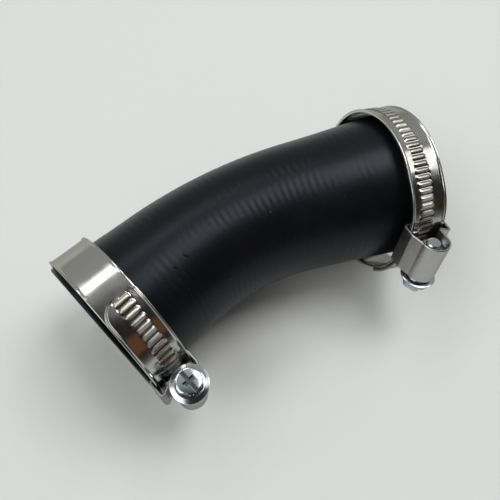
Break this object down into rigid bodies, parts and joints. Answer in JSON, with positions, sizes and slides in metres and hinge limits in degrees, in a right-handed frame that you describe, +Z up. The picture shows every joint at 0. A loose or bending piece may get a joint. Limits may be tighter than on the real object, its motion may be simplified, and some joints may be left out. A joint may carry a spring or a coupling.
{
  "type": "charge air hose",
  "caption": "Bent black rubber charge air hose with a loose worm-drive hose clamp on each end, each closed by its own screw.",
  "frame": {"origin": "on the ground, under the middle of the object's box, as it lies on its two clamp bands", "axes": "+X along the line from the left hose end to the right hose end, +Z up, the bend bulging towards +Y and the clamp screws on the -Y side"},
  "size_m": [0.1222, 0.07, 0.0565],
  "materials": {
    "rubber": "satin",
    "band_steel": "polished",
    "housing_steel": "polished",
    "screw_zinc": "gloss"
  },
  "bodies": {
    "hose_and_clamps": {"hose": "rubber", "left_band": "band_steel", "left_housing": "housing_steel", "right_band": "band_steel", "right_housing": "housing_steel"},
    "left_screw": {"left_screw": "screw_zinc"},
    "right_screw": {"right_screw": "screw_zinc"}
  },
  "joints": [
    {"name": "left_screw_turn", "type": "hinge", "parent": "hose_and_clamps", "child": "left_screw", "pos_m": [-0.0397, -0.02589, 0.02503], "axis": [-0.0012, 0.028, -0.9996], "continuous": true},
    {"name": "right_screw_turn", "type": "hinge", "parent": "hose_and_clamps", "child": "right_screw", "pos_m": [0.04174, -0.0277, 0.03612], "axis": [0.1714, 0.2041, 0.9638], "continuous": true}
  ]
}
